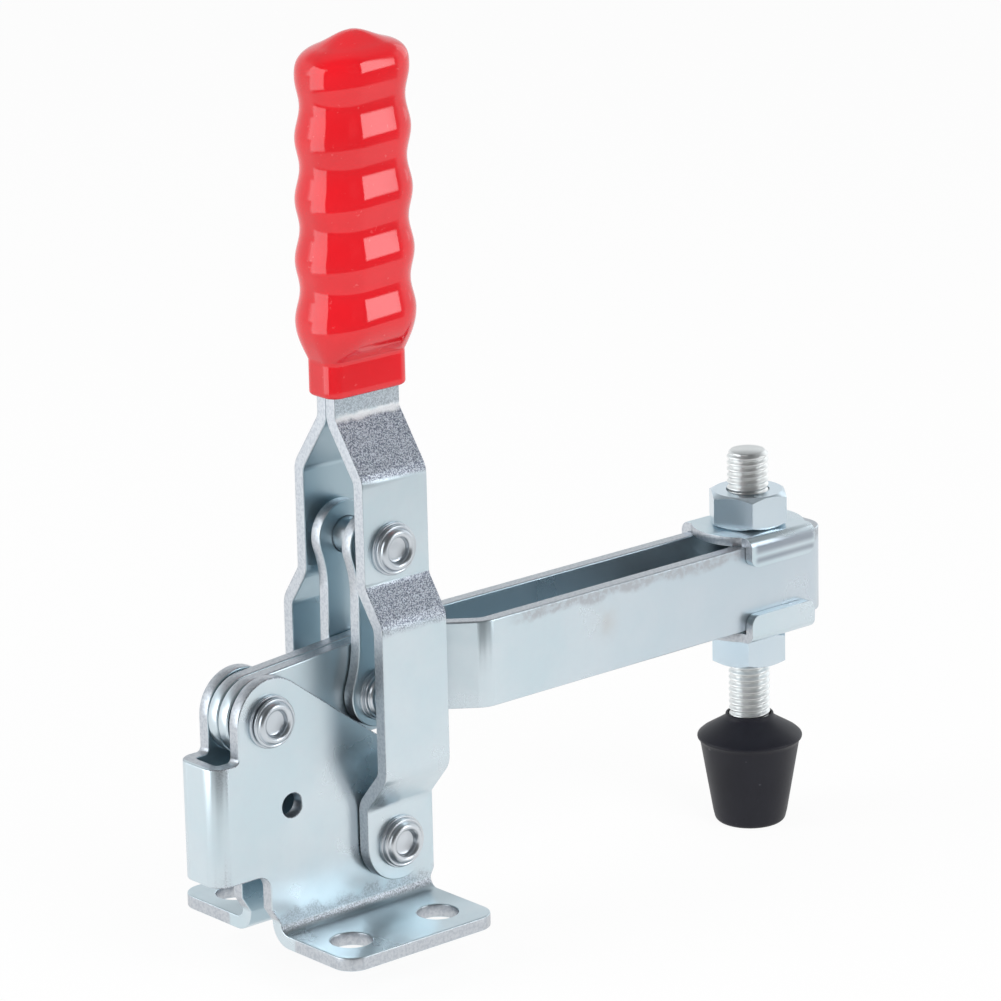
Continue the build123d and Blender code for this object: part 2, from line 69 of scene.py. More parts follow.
def skin_rings(bm, rings, close_first=True, close_last=True):
    """Joins rings of equally many points with quads, and closes the ends."""
    loops = [[bm.verts.new(point) for point in ring] for ring in rings]
    count = len(loops[0])
    for low, high in zip(loops, loops[1:]):
        for i in range(count):
            j = (i + 1) % count
            bm.faces.new((low[i], low[j], high[j], high[i]))
    for wanted, loop in ((close_first, loops[0]), (close_last, loops[-1])):
        if wanted:
            bm.faces.new(loop)


def turned_rings(profile, place, axis, count=96):
    """Rings of a solid of revolution from (radius, distance along the axis) pairs."""
    rings = []
    for radius, along in profile:
        ring = []
        for i in range(count):
            angle = 2 * pi * i / count
            u, v = radius * cos(angle), radius * sin(angle)
            if axis == "Y":
                ring.append((place[0] + u, along, place[1] + v))
            else:
                ring.append((place[0] + u, place[1] + v, along))
        rings.append(ring)
    return rings


def arc(centre, radius, start_deg, end_deg, steps):
    """Points of an arc, from its start angle to its end angle."""
    points = []
    for i in range(steps + 1):
        angle = radians(start_deg + (end_deg - start_deg) * i / steps)
        points.append((centre[0] + radius * cos(angle), centre[1] + radius * sin(angle)))
    return points


# Materials

class Graph:
    """A node tree, with one short call per kind of node."""

    def __init__(self, tree):
        self.tree = tree

    def node(self, kind, **options):
        made = self.tree.nodes.new("ShaderNode" + kind)
        for key, value in options.items():
            setattr(made, key, value)
        return made

    def feed(self, socket, value):
        if isinstance(value, bpy.types.NodeSocket):
            self.tree.links.new(value, socket)
        else:
            socket.default_value = value

    def split(self, vector):
        node = self.node("SeparateXYZ")
        self.feed(node.inputs[0], vector)
        return node.outputs

    def math(self, operation, *values):
        node = self.node("Math", operation=operation)
        for socket, value in zip(node.inputs, values):
            self.feed(socket, value)
        return node.outputs[0]

    def size(self, value):
        return self.math("ABSOLUTE", value)

    def most(self, first, second):
        return self.math("MAXIMUM", first, second)

    def times(self, *values):
        result = values[0]
        for value in values[1:]:
            result = self.math("MULTIPLY", result, value)
        return result

    def step(self, value, low, high):
        """0 below low and 1 above high, smooth between; the other way round if low > high."""
        node = self.node("MapRange", interpolation_type="SMOOTHSTEP")
        rising = low < high
        self.feed(node.inputs["Value"], value)
        node.inputs["From Min"].default_value = min(low, high)
        node.inputs["From Max"].default_value = max(low, high)
        node.inputs["To Min"].default_value = 0.0 if rising else 1.0
        node.inputs["To Max"].default_value = 1.0 if rising else 0.0
        return node.outputs["Result"]

    def band(self, value, low, high, soft):
        """1 between low and high, with soft ends."""
        rise = self.step(value, low - soft, low + soft)
        return self.times(rise, self.step(value, high + soft, high - soft))

    def blend(self, share, first, second):
        """Colour mix: first where share is 0, second where it is 1."""
        node = self.node("Mix", data_type="RGBA")
        self.feed(node.inputs[0], share)
        self.feed(node.inputs[6], (*first, 1.0) if isinstance(first, tuple) else first)
        self.feed(node.inputs[7], (*second, 1.0) if isinstance(second, tuple) else second)
        return node.outputs[2]

    def between(self, share, first, second):
        """Number mix of two values by a share from 0 to 1."""
        node = self.node("Mix")
        self.feed(node.inputs[0], share)
        self.feed(node.inputs[2], first)
        self.feed(node.inputs[3], second)
        return node.outputs[0]

    def join(self, share, first, second):
        """Shader mix."""
        node = self.node("MixShader")
        self.feed(node.inputs[0], share)
        self.feed(node.inputs[1], first)
        self.feed(node.inputs[2], second)
        return node.outputs[0]


class Shade(Graph):
    """A material built on the standard shader, with masks from place and direction."""

    def __init__(self, name):
        self.material = bpy.data.materials.new(name)
        self.material.use_nodes = True
        super().__init__(self.material.node_tree)
        self.shader = self.tree.nodes["Principled BSDF"]
        coordinates = self.node("TexCoord")
        self.place = coordinates.outputs["Object"]
        self.x, self.y, self.z = self.split(self.place)
        self.nx, self.ny, self.nz = self.split(coordinates.outputs["Normal"])
        self.last_bump = None

    def noise(self, scale, detail=3.0, roughness=0.55, stretch=(1, 1, 1)):
        vector = self.place
        if stretch != (1, 1, 1):
            node = self.node("VectorMath", operation="MULTIPLY")
            self.feed(node.inputs[0], self.place)
            node.inputs[1].default_value = stretch
            vector = node.outputs[0]
        node = self.node("TexNoise")
        self.feed(node.inputs["Vector"], vector)
        node.inputs["Scale"].default_value = scale
        node.inputs["Detail"].default_value = detail
        node.inputs["Roughness"].default_value = roughness
        return node.outputs["Fac"]

    def spot(self, place, half, soft):
        """1 inside a box about a place, in millimetres, with soft sides."""
        masks = []
        for value, centre, reach in zip((self.x, self.y, self.z), place, half):
            away = self.size(self.math("SUBTRACT", value, centre * MM))
            masks.append(self.step(away, (reach + soft) * MM, (reach - soft) * MM))
        return self.times(*masks)

    def bump(self, height, strength, depth_mm):
        """Adds a relief to those before it; its strength may be a mask."""
        node = self.node("Bump")
        self.feed(node.inputs["Height"], height)
        self.feed(node.inputs["Strength"], strength)
        node.inputs["Distance"].default_value = depth_mm * MM
        if self.last_bump:
            self.feed(node.inputs["Normal"], self.last_bump)
        self.last_bump = node.outputs["Normal"]
        self.feed(self.shader.inputs["Normal"], self.last_bump)

    def set(self, **values):
        names = {"colour": "Base Color", "metallic": "Metallic", "roughness": "Roughness",
                 "specular": "Specular IOR Level"}
        for key, value in values.items():
            value = (*value, 1.0) if isinstance(value, tuple) else value
            self.feed(self.shader.inputs[names[key]], value)


PLATE_TINT = (0.655, 0.74, 0.785)
PLATE_TINT_COOL = (0.60, 0.715, 0.765)
# Colour of the painted shade on faces that look towards the middle plane
INNER_SHADE_TINT = (0.37, 0.50, 0.57)
EDGE_TINT = (0.57, 0.60, 0.635)
EDGE_TINT_DARK = (0.46, 0.495, 0.54)
SPARK_DARK = (0.17, 0.19, 0.245)
SPARK_PALE = (0.62, 0.66, 0.72)
FOOT_SPARK_DARK = (0.30, 0.33, 0.36)
# Colour of the painted highlight along the crease under the grip
CREASE_HIGHLIGHT_TINT = (0.95, 0.96, 0.97)
# Colour of the painted shade lines on the washer tabs
TAB_SHADE_TINT = (0.24, 0.265, 0.32)
FAR_END_TINT = (0.50, 0.55, 0.62)
DARK_BAND_TINT = (0.44, 0.46, 0.49)
STAIN_TINT = (0.50, 0.46, 0.42)
# Colour of the painted shade on the feet next to the side plates
FOOT_SHADE_TINT = (0.42, 0.50, 0.54)
RIVET_TINT = (0.66, 0.69, 0.72)
NUT_TINT = (0.66, 0.75, 0.81)
THREAD_TINT = (0.88, 0.89, 0.88)
RED_TINTS = ((0.70, 0.008, 0.015), (0.64, 0.007, 0.013))
RED_SPECK = (0.75, 0.12, 0.12)
BLACK_TINTS = ((0.010, 0.0105, 0.0155), (0.014, 0.0145, 0.021))
DUST_TINT = (0.10, 0.10, 0.12)

# Heights of the painted sparkle, the painted crease highlight, the bar's darker band and the washer
# tabs' painted shade lines, in millimetres
NECK_HIGHLIGHT_BAND = (113.0, 114.3)
NECK_SPARKLE = (113.8, 115.0)
UPPER_BEND_SPARKLE = (101.3, 103.5)
LOWER_BEND_SPARKLE = (68.6, 71.0)
FOOT_SPARKLE = (8.6, 6.2)
BAR_DARK_BAND = (58.6, 60.2)
TAB_SHADE_LINES = ((58.3, 59.5, 0.6), (60.5, 62.8, 0.7))
TAB_ENDS = (117.6, 136.0)


def zinc_sheet(name, edge, rough=None, spark_dark=SPARK_DARK, marks_and_painted_light=None):
    """Zinc plated sheet: satin faces, painted sparkle on the rough bends, painted shade on the faces
    that look inwards, and pale sheared edges.
    """
    s = Shade(name)
    is_edge = edge(s)
    cloud = s.step(s.noise(38.0, 4.0, 0.6), 0.35, 0.65)
    fine = s.step(s.noise(520.0, 3.0, 0.7), 0.35, 0.70)
    scratch = s.step(s.noise(260.0, 2.0, 0.5, (1.0, 1.0, 0.06)), 0.60, 0.68)
    colour = s.blend(cloud, PLATE_TINT, PLATE_TINT_COOL)
    # Faint pale speckles all over: painted glints
    colour = s.blend(s.times(fine, 0.15), colour, SPARK_PALE)
    # Painted shade: faces that look towards the middle plane are darkened towards a teal grey
    inner_shade = s.times(s.step(s.times(s.ny, s.y), 0.0, -0.0005), s.step(s.size(s.ny), 0.6, 0.8))
    colour = s.blend(s.times(inner_shade, 0.7), colour, INNER_SHADE_TINT)
    gloss = s.between(cloud, 0.27, 0.33)
    gloss = s.between(s.times(scratch, 0.2), gloss, 0.45)
    s.bump(s.noise(210.0, 2.0), 0.04, 0.05)
    if rough:
        is_rough = rough(s)
        grain = s.noise(3000.0, 2.0, 0.6)
        # The grain's relief is real; its pale and dark speckles are painted glints and painted shade
        # of the sparkling bends
        spark = s.blend(s.step(grain, 0.38, 0.62), spark_dark, SPARK_PALE)
        colour = s.blend(is_rough, colour, spark)
        gloss = s.between(is_rough, gloss, 0.38)
        s.bump(grain, s.between(is_rough, 0.035, 0.85), 0.12)
    if marks_and_painted_light:
        colour, gloss = marks_and_painted_light(s, colour, gloss)
    streak = s.noise(1500.0, 2.0, 0.5)
    shear = s.blend(s.step(streak, 0.38, 0.68), EDGE_TINT, EDGE_TINT_DARK)
    colour = s.blend(is_edge, colour, shear)
    s.set(colour=colour, metallic=0.93, roughness=s.between(is_edge, gloss, 0.36))
    s.bump(streak, s.times(is_edge, 0.22), 0.08)
    return s.material


def outward(s):
    """1 where a face looks away from the middle plane."""
    return s.step(s.times(s.ny, s.y), 0.0, 0.0005)


def handle_rough(s):
    """The two outer faces of each strip that slant upwards, and a little below them."""
    slant = s.times(s.step(s.nz, 0.12, 0.30), s.step(s.size(s.ny), 0.2, 0.4), outward(s))
    ragged = s.times(s.math("SUBTRACT", s.noise(180.0, 3.0), 0.5), 0.004)
    height = s.math("ADD", s.z, ragged)
    upper = s.band(height, UPPER_BEND_SPARKLE[0] * MM, UPPER_BEND_SPARKLE[1] * MM, 1.0 * MM)
    lower = s.band(height, LOWER_BEND_SPARKLE[0] * MM, LOWER_BEND_SPARKLE[1] * MM, 1.2 * MM)
    below = s.times(s.most(upper, lower), s.step(s.size(s.ny), 0.5, 0.8), 0.8)
    neck = s.times(s.step(height, NECK_SPARKLE[0] * MM, NECK_SPARKLE[1] * MM), 0.5)
    return s.most(slant, s.times(s.most(below, neck), outward(s)))


def handle_crease_highlight(s, colour, gloss):
    """A painted highlight along the crease where the strips bend outwards under the grip."""
    ragged = s.times(s.math("SUBTRACT", s.noise(400.0, 2.0), 0.5), 0.002)
    crease_highlight = s.band(s.math("ADD", s.z, ragged), NECK_HIGHLIGHT_BAND[0] * MM, NECK_HIGHLIGHT_BAND[1] * MM, 0.5 * MM)
    crease_highlight = s.times(crease_highlight, outward(s), s.step(s.size(s.ny), 0.3, 0.6))
    colour = s.blend(s.times(crease_highlight, 0.85), colour, CREASE_HIGHLIGHT_TINT)
    return colour, s.between(crease_highlight, gloss, 0.6)


def base_rough(s):
    """The outer bend of each foot, with a ragged upper limit."""
    ragged = s.times(s.math("SUBTRACT", s.noise(220.0, 3.0), 0.5), 0.008)
    low = s.step(s.math("ADD", s.z, ragged), FOOT_SPARKLE[0] * MM, FOOT_SPARKLE[1] * MM)
    slant = s.times(s.step(s.size(s.times(s.ny, s.nz)), 0.05, 0.25), outward(s))
    side = s.times(low, s.step(s.size(s.ny), 0.6, 0.9), outward(s), 0.55)
    return s.times(s.most(slant, side), s.step(s.z, 3.2 * MM, 4.0 * MM))


def washer_shade_lines(s, colour, gloss):
    """Two lines of painted shade along each side tab of the upper washer."""
    lower, upper = (s.band(s.z, low * MM, high * MM, soft * MM) for low, high, soft in TAB_SHADE_LINES)
    along = s.band(s.x, TAB_ENDS[0] * MM, TAB_ENDS[1] * MM, 0.8 * MM)
    tab = s.step(s.size(s.y), 11.3 * MM, 11.7 * MM)
    darkened = s.between(s.noise(260.0, 2.0, 0.5, (0.12, 1.0, 1.0)), 0.45, 1.0)
    darkened = s.times(darkened, s.most(upper, lower), along, tab)
    return s.blend(darkened, colour, TAB_SHADE_TINT), gloss


def edges_across_x(s):
    return s.step(s.size(s.nx), 0.6, 0.85)


def edges_across_z(s):
    return s.step(s.size(s.nz), 0.6, 0.85)


def edges_in_side_view(s):
    return s.step(s.size(s.ny), 0.5, 0.25)


def washer_edges(s):
    return s.times(s.step(s.size(s.nz), 0.4, 0.2), s.step(s.size(s.ny), 0.98, 0.9))


def base_edges(s):
    """Cut edges of the base: all that neither the side plates, the web nor the feet show."""
    outline = s.times(s.step(s.size(s.ny), 0.5, 0.25), s.step(s.z, 5.5 * MM, 6.5 * MM))
    outline = s.times(outline, s.step(s.x, -36.9 * MM, -36.6 * MM))
    rim = s.times(s.step(s.z, 3.4 * MM, 3.2 * MM), s.step(s.size(s.nz), 0.5, 0.3))
    return s.most(outline, s.times(rim, s.step(s.size(s.y), 11.0 * MM, 12.0 * MM)))


def bar_marks(s, colour, gloss):
    """Darker mottled band along the bar's upper edge, darker towards the spindle end, and a brownish
    stain.
    """
    outside = s.times(outward(s), s.step(s.size(s.ny), 0.7, 0.9))
    ragged = s.times(s.math("SUBTRACT", s.noise(160.0, 3.0), 0.5), 0.004)
    height = s.math("ADD", s.z, ragged)
    darkened = s.step(height, BAR_DARK_BAND[0] * MM, BAR_DARK_BAND[1] * MM)
    darkened = s.times(darkened, s.step(s.x, 42 * MM, 52 * MM), outside)
    mottle = s.step(s.noise(800.0, 2.0, 0.6), 0.35, 0.6)
    toward_end = s.times(s.step(s.x, 30 * MM, 120 * MM), s.step(s.size(s.ny), 0.7, 0.9), 0.4)
    colour = s.blend(toward_end, colour, FAR_END_TINT)
    colour = s.blend(s.times(darkened, s.between(mottle, 0.35, 0.8)), colour, DARK_BAND_TINT)
    stain = s.spot((72.7, -9.6, 54.2), (2.5, 2, 4.0), 3.0)
    stain = s.times(stain, s.step(s.noise(120.0), 0.3, 0.7), 0.4)
    colour = s.blend(stain, colour, STAIN_TINT)
    return colour, s.between(darkened, gloss, 0.40)


def foot_corner_shade(s, colour, gloss):
    """Painted shade on the feet next to their bends, darkest where they meet the side plates."""
    corner_shade = s.times(s.step(s.size(s.y), 21 * MM, 13 * MM), s.step(s.nz, 0.5, 0.9))
    corner_shade = s.times(corner_shade, s.step(s.z, 6 * MM, 3.5 * MM), 0.6)
    return s.blend(corner_shade, colour, FOOT_SHADE_TINT), gloss


def zinc_smooth(name, tint, gloss, shadow=0.92):
    """Smooth zinc plating of rivets and fasteners, with a faint second tint."""
    s = Shade(name)
    cloud = s.step(s.noise(60.0, 3.0), 0.3, 0.7)
    fine = s.noise(1400.0, 2.0)
    second = (tint[0] * shadow, tint[1] * (shadow + 0.03), tint[2] * (shadow + 0.05))
    s.set(colour=s.blend(cloud, tint, second), metallic=1.0,
          roughness=s.between(fine, gloss - 0.03, gloss + 0.05))
    s.bump(fine, 0.05, 0.04)
    return s.material


def vinyl(name):
    """Glossy red dipped vinyl with a faint orange peel and small specks."""
    s = Shade(name)
    cloud = s.step(s.noise(70.0, 3.0), 0.3, 0.7)
    speck = s.step(s.noise(700.0, 2.0), 0.68, 0.76)
    red = s.blend(cloud, *RED_TINTS)
    s.set(colour=s.blend(s.times(speck, 0.4), red, RED_SPECK), metallic=0.0,
          roughness=s.between(cloud, 0.07, 0.12), specular=0.65)
    s.bump(s.noise(90.0, 2.0), 0.10, 0.25)
    s.bump(s.noise(420.0, 2.0), 0.03, 0.08)
    return s.material


def rubber(name):
    """Satin black rubber with dust specks."""
    s = Shade(name)
    cloud = s.step(s.noise(90.0, 3.0), 0.3, 0.7)
    dust = s.step(s.noise(520.0, 1.0), 0.74, 0.80)
    black = s.blend(cloud, *BLACK_TINTS)
    s.set(colour=s.blend(s.times(dust, 0.6), black, DUST_TINT), metallic=0.0,
          roughness=s.between(cloud, 0.42, 0.50), specular=0.25)
    s.bump(s.noise(900.0, 2.0), 0.06, 0.05)
    return s.material


# Pieces that take the place of plainer solids

RIVET_HEAD_HEIGHT = 1.9
RIVET_SHANK_R = 4.0
RIVET_CUP_DEPTH = 1.7


def rivet_head(seat):
    """(radius, distance) up a cupped head, from the middle of its floor to its seat."""
    rim = seat + RIVET_HEAD_HEIGHT
    floor = rim - RIVET_CUP_DEPTH
    cup = [(0.02, floor + 0.15), (1.2, floor + 0.1), (2.2, floor), (2.7, floor + 0.15)]
    lip = [(2.82, floor + 0.5)] + arc((3.75, rim - 0.92), 0.92, 172, 12, 14)
    collar = [(4.74, rim - 1.0), (4.84, rim - 1.06)] + arc((5.13, rim - 1.32), 0.37, 110, -20, 7)
    foot = [(5.42, seat + 0.25), (5.3, seat), (RIVET_SHANK_R, seat)]
    return cup + lip + collar + foot


def rivet(name, node, place, seat, body, material, inner=None):
    """A cupped rivet, whole or cut off at a distance from the middle plane."""
    head = rivet_head(seat)
    if inner is None:
        profile = head + [(radius, -along) for radius, along in reversed(head)]
    else:
        profile = head + [(RIVET_SHANK_R, inner), (0.02, inner)]
    if node.endswith("right"):
        profile = [(radius, -along) for radius, along in profile]
    bm = bmesh.new()
    skin_rings(bm, turned_rings(profile, place, "Y"))
    piece = finish_mesh(name, bm, material, 50.0)
    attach(piece, body)
    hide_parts(node)


GRIP_BOTTOM = 118.4
GRIP_FOOT = 126.4
HANDLE_CENTRE_X = 10.5
NECK = (10.95, 5.0, 3.0)
FIRST_SWELL = 135.2
SWELL_PITCH = 13.25
SWELL_HALF_X = 13.4
SWELL_HALF_Y = 10.25
SWELL_SQUARENESS = 0.9
SWELL_DEPTH = 1.0
SWELL_TAPER = 0.19
GRIP_TILT_DEG = 3.5
GRIP_LEAN = 0.016
GRIP_END_HEIGHT = 6.7
GRIP_END_FULLNESS = 2.8
GRIP_BUTTON_HEIGHT = 2.0
GRIP_BUTTON_SHARE = 0.66
GRIP_LIP = 0.9
GRIP_WALL = 1.95
SWELLS_ABOVE_FIRST = 4
ROWS_PER_SWELL = 28
ROWS_TO_FIRST_SWELL = 24
ROWS_OF_END = 40


def grip_sections():
    """(height, half x, half y, corner radius, share of the tilt) up the grip."""
    sections = []
    for i in range(7):
        angle = i / 6 * pi / 2
        inset = GRIP_LIP * (1 - sin(angle))
        height = GRIP_BOTTOM + GRIP_LIP * (1 - cos(angle))
        sections.append((height, NECK[0] - inset, NECK[1] - inset, NECK[2] - inset / 2, 0))
    straight = GRIP_FOOT - GRIP_BOTTOM - GRIP_LIP
    for i in range(1, 9):
        sections.append((GRIP_BOTTOM + GRIP_LIP + straight * i / 9, *NECK, 0))
    first = (SWELL_HALF_X, SWELL_HALF_Y, SWELL_SQUARENESS * SWELL_HALF_Y)
    for i in range(ROWS_TO_FIRST_SWELL):
        part = i / ROWS_TO_FIRST_SWELL
        share = sin(part * pi / 2)
        sizes = [a + (b - a) * share for a, b in zip(NECK, first)]
        sections.append((GRIP_FOOT + part * (FIRST_SWELL - GRIP_FOOT), *sizes, part))
    for i in range(SWELLS_ABOVE_FIRST * ROWS_PER_SWELL + 1):
        turn = i / ROWS_PER_SWELL
        loss = SWELL_TAPER * turn + SWELL_DEPTH * sin(pi * turn) ** 2
        half_y = SWELL_HALF_Y - loss
        corner = SWELL_SQUARENESS * half_y
        sections.append((FIRST_SWELL + turn * SWELL_PITCH, SWELL_HALF_X - loss, half_y, corner, 1))
    height, *last, _ = sections[-1]
    power = 2 / GRIP_END_FULLNESS
    last_angle = acos(0.02 ** (1 / power))
    for i in range(1, ROWS_OF_END + 1):
        angle = i / ROWS_OF_END * last_angle
        share = cos(angle) ** power
        lift = GRIP_END_HEIGHT * sin(angle) ** power
        if share < GRIP_BUTTON_SHARE:
            lift += GRIP_BUTTON_HEIGHT * (0.5 + 0.5 * cos(pi * share / GRIP_BUTTON_SHARE))
        sections.append((height + lift, *[size * share for size in last], 1))
    return sections


def grip_ring(height, half_x, half_y, corner, tilt):
    """Points of one rounded rectangle of the grip, leaning with the others."""
    lean = GRIP_LEAN * max(height - GRIP_FOOT, 0) if tilt else 0
    angle = radians(-GRIP_TILT_DEG * tilt)
    points = []
    for quarter, (x_sign, y_sign) in enumerate([(1, 1), (-1, 1), (-1, -1), (1, -1)]):
        for i in range(17):
            turn = (quarter + i / 16) * pi / 2
            x = x_sign * (half_x - corner) + corner * cos(turn)
            y = y_sign * (half_y - corner) + corner * sin(turn)
            points.append((HANDLE_CENTRE_X + lean + x * cos(angle), y, height - x * sin(angle)))
    return points


def make_grip(material):
    sections = grip_sections()
    inner = (GRIP_BOTTOM + 0.2, NECK[0] - GRIP_WALL, NECK[1] - GRIP_WALL, 0.6, 0)
    bm = bmesh.new()
    skin_rings(bm, [grip_ring(*section) for section in [inner, *sections]])
    piece = finish_mesh("grip_sleeve", bm, material, 60.0)
    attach(piece, "handle")
    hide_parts("handle_grip")


THREAD_PITCH = 1.5
THREAD_CREST_R = 4.86
THREAD_DEPTH = 0.62
THREAD_FOOT = 11.8
THREAD_END_R = 3.95
THREAD_END_SLOPE = 1.1
SCREW_HEAD_R = 9.6
SCREW_HEAD_BOTTOM = 5.3


def make_spindle(material):
    """Right-handed thread with rounded crests, on the hexagon head that the cap hides."""
    around, per_turn = 72, 10
    rows = int((SPINDLE_TOP - THREAD_FOOT) / THREAD_PITCH * per_turn)
    rings = []
    for row in range(rows + 1):
        z = THREAD_FOOT + (SPINDLE_TOP - THREAD_FOOT) * row / rows
        ring = []
        for i in range(around):
            turn = i / around
            wave = 0.5 + 0.5 * cos(2 * pi * (z / THREAD_PITCH - turn))
            radius = THREAD_CREST_R - THREAD_DEPTH * (1 - wave ** 0.75)
            radius = min(radius, THREAD_END_R + (SPINDLE_TOP - z) * THREAD_END_SLOPE)
            ring.append((SPINDLE_X + radius * cos(2 * pi * turn), radius * sin(2 * pi * turn), z))
        rings.append(ring)
    bm = bmesh.new()
    skin_rings(bm, rings)
    head = [(SCREW_HEAD_R * cos(i * pi / 3), SCREW_HEAD_R * sin(i * pi / 3)) for i in range(6)]
    levels = (SCREW_HEAD_BOTTOM, THREAD_FOOT - 0.2)
    skin_rings(bm, [[(SPINDLE_X + x, y, z) for x, y in head] for z in levels])
    piece = finish_mesh("spindle_thread", bm, material, 50.0)
    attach(piece, "arm")
    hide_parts("spindle")


CAP_BOTTOM = -9.3


def make_cap(material):
    """Rubber cap with a rounded foot, a soft lip and a collar that hugs the thread."""
    profile = [(0.02, 0.0), (5.0, 0.0)]
    profile += arc((7.0, 1.45), 1.45, -90, -8, 8)
    profile += [(8.75, 2.5), (10.2, 11.0), (11.65, 19.6)]
    profile += arc((11.75, 21.0), 0.62, -60, 52, 8)
    profile += [(11.5, 22.05), (9.8, 23.1), (7.7, 24.35), (6.5, 25.15), (5.95, 25.6), (5.7, 26.1)]
    profile += arc((5.35, 26.35), 0.32, -10, 120, 5)
    profile += [(5.05, 26.3), (5.0, 25.0)]
    rings = turned_rings([(radius, CAP_BOTTOM + z) for radius, z in profile], (SPINDLE_X, 0), "Z", 128)
    bm = bmesh.new()
    skin_rings(bm, rings, close_last=True)
    piece = finish_mesh("cap_moulding", bm, material, 60.0)
    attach(piece, "arm")
    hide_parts("rubber_cap")


# Materials and softened edges on the solids

WELD_DISTANCE = 0.002
FLAT_ANGLE = 0.5
BEVEL_ANGLE = 38


def dress(node, material, bevel_mm):
    """Material and softened edges for a node of the CAD model."""
    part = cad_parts[node]
    for i in range(len(part.data.materials)):
        part.data.materials[i] = material
    weld = part.modifiers.new("weld", "WELD")
    weld.merge_threshold = WELD_DISTANCE * MM
    flat = part.modifiers.new("flat", "DECIMATE")
    flat.decimate_type = "DISSOLVE"
    flat.angle_limit = radians(FLAT_ANGLE)
    bevel = part.modifiers.new("bevel", "BEVEL")
    bevel.width = bevel_mm * MM
    bevel.segments = 3
    bevel.limit_method = "ANGLE"
    bevel.angle_limit = radians(BEVEL_ANGLE)
    bevel.harden_normals = True


def make_pieces():
    fold = zinc_sheet("zinc_base", base_edges, base_rough, FOOT_SPARK_DARK, foot_corner_shade)
    strip = zinc_sheet("zinc_handle", edges_across_x, handle_rough, marks_and_painted_light=handle_crease_highlight)
    bar = zinc_sheet("zinc_arm", edges_across_z, marks_and_painted_light=bar_marks)
    flat = zinc_sheet("zinc_link", edges_in_side_view)
    washer = zinc_sheet("zinc_washer", washer_edges, marks_and_painted_light=washer_shade_lines)
    rivet_zinc = zinc_smooth("zinc_rivet_bright", RIVET_TINT, 0.29)
    nut_zinc = zinc_smooth("zinc_nut", NUT_TINT, 0.24)
    thread_zinc = zinc_smooth("zinc_thread", THREAD_TINT, 0.42)
    dress("base_bracket", fold, 0.45)
    for side in ("left", "right"):
        dress(f"handle_plate_{side}", strip, 0.45)
        dress(f"toggle_link_{side}", flat, 0.3)
        for ring in ("arm_pivot", "handle_pivot", "toggle", "link"):
            dress(f"{ring}_washer_{side}", rivet_zinc, 0.22)
    dress("clamp_arm", bar, 0.4)
    dress("flanged_washer_top", washer, 0.45)
    dress("flanged_washer_bottom", washer, 0.45)
    dress("spindle_nut_upper", nut_zinc, 0.3)
    dress("spindle_nut_lower", nut_zinc, 0.3)
    dress("handle_pivot_spacer", rivet_zinc, 0.2)
    dress("link_pin", rivet_zinc, 0.2)
    rivet("rivet_at_arm", "arm_pivot_rivet", ARM_PIVOT, ARM_RIVET_SEAT, "base", rivet_zinc)
    rivet("rivet_at_handle", "handle_pivot_rivet", HANDLE_PIVOT, HANDLE_RIVET_SEAT, "base", rivet_zinc)
    rivet("rivet_at_toggle", "toggle_rivet", UPPER_LINK_PIVOT, TOGGLE_RIVET_SEAT, "handle", rivet_zinc)
    for side in ("left", "right"):
        rivet(f"rivet_at_link_{side}", f"link_rivet_{side}", LOWER_LINK_PIVOT,
              LINK_RIVET_SEAT, "link", rivet_zinc, LINK_RIVET_INNER_END)
    make_grip(vinyl("red_vinyl"))
    make_spindle(thread_zinc)
    make_cap(rubber("black_rubber"))


# Camera, floor and light

def add_camera():
    azimuth, elevation, roll = (radians(a) for a in (CAMERA_AZIMUTH, CAMERA_ELEVATION, CAMERA_ROLL))
    back = Vector((sin(azimuth) * cos(elevation), -cos(azimuth) * cos(elevation), sin(elevation)))
    level = Vector((cos(azimuth), sin(azimuth), 0))
    upright = back.cross(level)
    right = level * cos(roll) + upright * sin(roll)
    up = upright * cos(roll) - level * sin(roll)
    data = bpy.data.cameras.new("camera")
    data.sensor_width = SENSOR_MM
    data.lens = SENSOR_MM * FOCAL_PIXELS / IMAGE_PIXELS
    data.clip_end = 50
    camera = bpy.data.objects.new("camera", data)
    rotation = Matrix((right, up, back)).transposed().to_4x4()
    camera.matrix_world = Matrix.Translation(CAMERA_PLACE) @ rotation
    bpy.context.scene.collection.objects.link(camera)
    bpy.context.scene.camera = camera


FLOOR_HALF = 6000
TABLE_CENTRE_X = 50.0
TABLE_REACH = 440.0
TABLE_SOFT = 25
FLOOR_SEEN = 0.93
FLOOR_MIRRORED = 0.85
WALL_LEVEL = 0.95
DIFFUSE_LEVEL = 0.62
# Bearing from the camera's side, half width, lowest rise and strength of each mirrored light
MIRRORED_LIGHTS = ((74, 7.5, -2, 4.2), (-72, 26, -22, 2.6), (138, 16, -22, 1.5))
MIRRORED_TOP = 34


